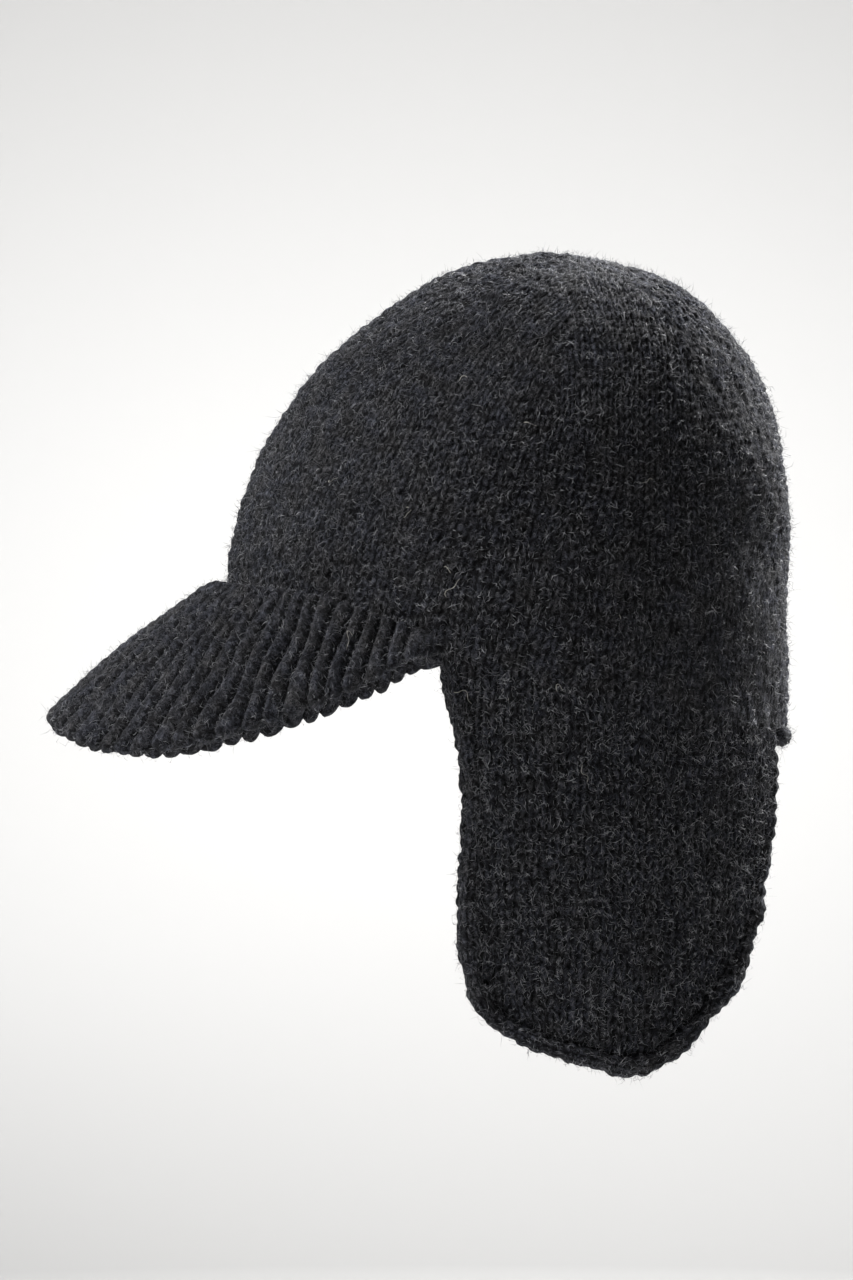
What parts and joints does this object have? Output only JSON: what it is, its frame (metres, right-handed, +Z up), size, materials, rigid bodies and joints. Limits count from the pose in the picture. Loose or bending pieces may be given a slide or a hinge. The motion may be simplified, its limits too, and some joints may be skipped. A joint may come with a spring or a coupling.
{
  "type": "earmuff knit cap",
  "caption": "Knitted wool cap with a domed crown, a ribbed bent visor and hanging ear flaps with rolled edges, in its worn form.",
  "frame": {"origin": "middle of the head opening, level with the two corners where the visor ends and the ear flaps begin", "axes": "+Z up toward the top of the crown, -Y out of the brow over the visor, +X toward the wearer's left ear"},
  "size_m": [0.1802, 0.2792, 0.3024],
  "materials": {
    "crown_wool": "matt knitted wool",
    "visor_wool": "matt rib-knitted wool",
    "flap_wool": "matt knitted wool",
    "edge_wool": "matt rolled wool edge"
  },
  "bodies": {
    "root": {"crown": "crown_wool", "visor": "visor_wool", "ear_flap_left": "flap_wool", "ear_flap_right": "flap_wool", "flap_band_left": "edge_wool", "flap_band_right": "edge_wool", "nape_hem": "edge_wool"}
  },
  "joints": []
}
